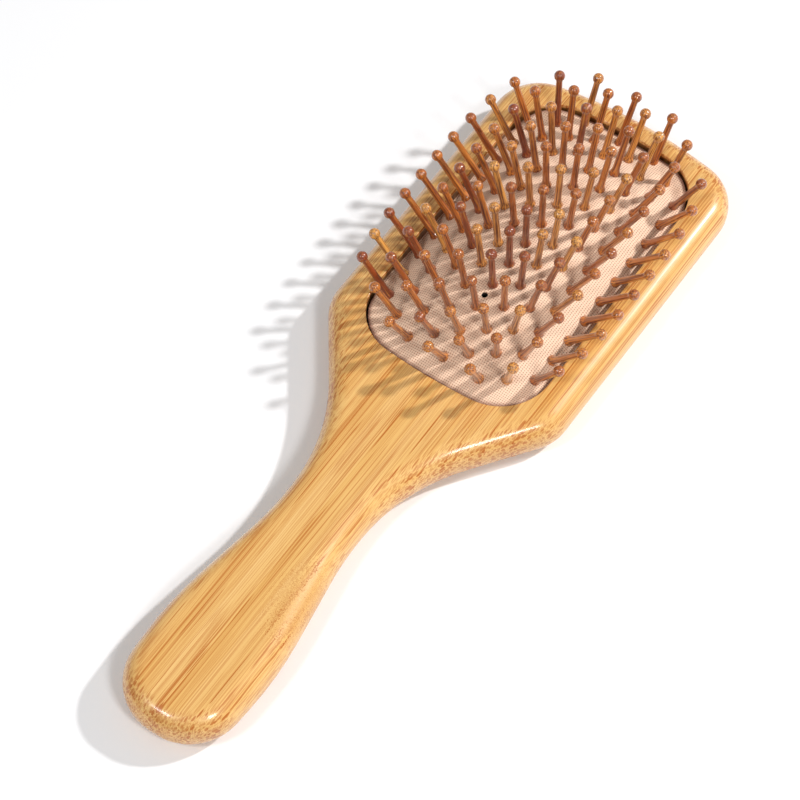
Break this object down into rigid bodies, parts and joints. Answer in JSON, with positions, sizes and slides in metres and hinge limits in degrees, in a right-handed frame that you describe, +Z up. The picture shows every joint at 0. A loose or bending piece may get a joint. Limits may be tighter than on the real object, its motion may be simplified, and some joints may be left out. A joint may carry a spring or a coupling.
{
  "type": "paddle brush",
  "caption": "Bamboo paddle hairbrush with a waisted handle, a broad rectangular head, a domed cloth-faced air cushion and ball-tipped wooden pins that lean.",
  "frame": {"origin": "middle of the flat underside: halfway along the brush, on its centre line, on the surface it lies on", "axes": "+Y from the handle's butt to the head, +Z up from the back through the pins, +X to the right as seen from above with the head pointing away"},
  "size_m": [0.082, 0.248, 0.0394],
  "materials": {
    "bamboo": "clear gloss lacquer over laminated bamboo strips",
    "rubber": "matt black moulded rubber",
    "cloth": "fine plain-woven beige facing bonded to the rubber",
    "pins": "turned bamboo pins, dyed or carbonised red-brown, glossy"
  },
  "bodies": {
    "paddle": {"bamboo_body": "bamboo"},
    "cushion": {"cushion_rubber": "rubber", "cushion_cloth": "cloth"},
    "near_row_pins": {"pins_near_row": "pins"},
    "far_row_pins": {"pins_far_row": "pins"},
    "left_outer_near_pins": {"pins_left_outer_near": "pins"},
    "left_outer_middle_pins": {"pins_left_outer_middle": "pins"},
    "left_outer_far_pins": {"pins_left_outer_far": "pins"},
    "right_outer_near_pins": {"pins_right_outer_near": "pins"},
    "right_outer_middle_pins": {"pins_right_outer_middle": "pins"},
    "right_outer_far_pins": {"pins_right_outer_far": "pins"},
    "left_3_near_pins": {"pins_left_3_near": "pins"},
    "left_3_far_pins": {"pins_left_3_far": "pins"},
    "left_2_near_pins": {"pins_left_2_near": "pins"},
    "left_2_far_pins": {"pins_left_2_far": "pins"},
    "left_1_near_pins": {"pins_left_1_near": "pins"},
    "left_1_far_pins": {"pins_left_1_far": "pins"},
    "centre_near_pins": {"pins_centre_near": "pins"},
    "centre_far_pins": {"pins_centre_far": "pins"},
    "right_1_near_pins": {"pins_right_1_near": "pins"},
    "right_1_far_pins": {"pins_right_1_far": "pins"},
    "right_2_near_pins": {"pins_right_2_near": "pins"},
    "right_2_far_pins": {"pins_right_2_far": "pins"},
    "right_3_near_pins": {"pins_right_3_near": "pins"},
    "right_3_far_pins": {"pins_right_3_far": "pins"}
  },
  "joints": [
    {"name": "cushion_press", "type": "slide", "parent": "paddle", "child": "cushion", "axis": [0, 0, -1], "range_m": [0, 0.002], "stiffness_N_per_m": 1500, "springref_m": -0.0005, "deforming": ["cushion_rubber", "cushion_cloth"]},
    {"name": "near_row_lean", "type": "hinge", "parent": "paddle", "child": "near_row_pins", "pos_m": [0, 0.0192, 0.01212], "axis": [1, 0, 0], "range_deg": [-8, 8], "stiffness_Nm_per_rad": 0.01},
    {"name": "far_row_lean", "type": "hinge", "parent": "paddle", "child": "far_row_pins", "pos_m": [0, 0.10932, 0.0104], "axis": [1, 0, 0], "range_deg": [-6, 8], "stiffness_Nm_per_rad": 0.01},
    {"name": "left_outer_near_lean", "type": "hinge", "parent": "paddle", "child": "left_outer_near_pins", "pos_m": [-0.02574, 0.03504, 0.01076], "axis": [-0.0295, 0.9991, 0.0294], "range_deg": [-2, 12], "stiffness_Nm_per_rad": 0.006},
    {"name": "left_outer_middle_lean", "type": "hinge", "parent": "paddle", "child": "left_outer_middle_pins", "pos_m": [-0.026, 0.0643, 0.01104], "axis": [-0.0002, 1, -0.0014], "range_deg": [-2, 12], "stiffness_Nm_per_rad": 0.008},
    {"name": "left_outer_far_lean", "type": "hinge", "parent": "paddle", "child": "left_outer_far_pins", "pos_m": [-0.02578, 0.09354, 0.01048], "axis": [0.026, 0.9984, -0.0509], "range_deg": [-2, 12], "stiffness_Nm_per_rad": 0.006},
    {"name": "right_outer_near_lean", "type": "hinge", "parent": "paddle", "child": "right_outer_near_pins", "pos_m": [0.02574, 0.03504, 0.01076], "axis": [0.0295, 0.9991, 0.0294], "range_deg": [-12, 2], "stiffness_Nm_per_rad": 0.006},
    {"name": "right_outer_middle_lean", "type": "hinge", "parent": "paddle", "child": "right_outer_middle_pins", "pos_m": [0.026, 0.0643, 0.01104], "axis": [0.0002, 1, -0.0014], "range_deg": [-12, 2], "stiffness_Nm_per_rad": 0.008},
    {"name": "right_outer_far_lean", "type": "hinge", "parent": "paddle", "child": "right_outer_far_pins", "pos_m": [0.02578, 0.09354, 0.01048], "axis": [-0.026, 0.9984, -0.0509], "range_deg": [-12, 2], "stiffness_Nm_per_rad": 0.006},
    {"name": "left_3_near_lean", "type": "hinge", "parent": "cushion", "child": "left_3_near_pins", "pos_m": [-0.01879, 0.0472, 0.01525], "axis": [0.0067, 0.9989, 0.047], "range_deg": [-12, 12], "stiffness_Nm_per_rad": 0.01},
    {"name": "left_3_far_lean", "type": "hinge", "parent": "cushion", "child": "left_3_far_pins", "pos_m": [-0.01883, 0.08565, 0.01477], "axis": [-0.0111, 0.9955, -0.0936], "range_deg": [-12, 12], "stiffness_Nm_per_rad": 0.008},
    {"name": "left_2_near_lean", "type": "hinge", "parent": "cushion", "child": "left_2_near_pins", "pos_m": [-0.01279, 0.04296, 0.01692], "axis": [-0.0036, 0.9964, 0.0851], "range_deg": [-12, 12], "stiffness_Nm_per_rad": 0.01},
    {"name": "left_2_far_lean", "type": "hinge", "parent": "cushion", "child": "left_2_far_pins", "pos_m": [-0.01281, 0.08561, 0.01643], "axis": [0.0026, 0.9926, -0.1218], "range_deg": [-12, 12], "stiffness_Nm_per_rad": 0.01},
    {"name": "left_1_near_lean", "type": "hinge", "parent": "cushion", "child": "left_1_near_pins", "pos_m": [-0.00664, 0.04299, 0.01754], "axis": [-0.0136, 0.9945, 0.1036], "range_deg": [-12, 12], "stiffness_Nm_per_rad": 0.012},
    {"name": "left_1_far_lean", "type": "hinge", "parent": "cushion", "child": "left_1_far_pins", "pos_m": [-0.00661, 0.08983, 0.01654], "axis": [0.0175, 0.9829, -0.1831], "range_deg": [-12, 12], "stiffness_Nm_per_rad": 0.01},
    {"name": "centre_near_lean", "type": "hinge", "parent": "cushion", "child": "centre_near_pins", "pos_m": [0, 0.04297, 0.01802], "axis": [0, 0.9954, 0.0962], "range_deg": [-12, 12], "stiffness_Nm_per_rad": 0.01},
    {"name": "centre_far_lean", "type": "hinge", "parent": "cushion", "child": "centre_far_pins", "pos_m": [0, 0.08559, 0.01747], "axis": [0, 0.9906, -0.1369], "range_deg": [-12, 12], "stiffness_Nm_per_rad": 0.01},
    {"name": "right_1_near_lean", "type": "hinge", "parent": "cushion", "child": "right_1_near_pins", "pos_m": [0.00664, 0.04299, 0.01754], "axis": [0.0136, 0.9945, 0.1036], "range_deg": [-12, 12], "stiffness_Nm_per_rad": 0.012},
    {"name": "right_1_far_lean", "type": "hinge", "parent": "cushion", "child": "right_1_far_pins", "pos_m": [0.00661, 0.08983, 0.01654], "axis": [-0.0175, 0.9829, -0.1831], "range_deg": [-12, 12], "stiffness_Nm_per_rad": 0.01},
    {"name": "right_2_near_lean", "type": "hinge", "parent": "cushion", "child": "right_2_near_pins", "pos_m": [0.01279, 0.04296, 0.01692], "axis": [0.0036, 0.9964, 0.0851], "range_deg": [-12, 12], "stiffness_Nm_per_rad": 0.01},
    {"name": "right_2_far_lean", "type": "hinge", "parent": "cushion", "child": "right_2_far_pins", "pos_m": [0.01281, 0.08561, 0.01643], "axis": [-0.0026, 0.9926, -0.1218], "range_deg": [-12, 12], "stiffness_Nm_per_rad": 0.01},
    {"name": "right_3_near_lean", "type": "hinge", "parent": "cushion", "child": "right_3_near_pins", "pos_m": [0.01879, 0.0472, 0.01525], "axis": [-0.0067, 0.9989, 0.047], "range_deg": [-12, 12], "stiffness_Nm_per_rad": 0.01},
    {"name": "right_3_far_lean", "type": "hinge", "parent": "cushion", "child": "right_3_far_pins", "pos_m": [0.01883, 0.08565, 0.01477], "axis": [0.0111, 0.9955, -0.0936], "range_deg": [-12, 12], "stiffness_Nm_per_rad": 0.008}
  ]
}
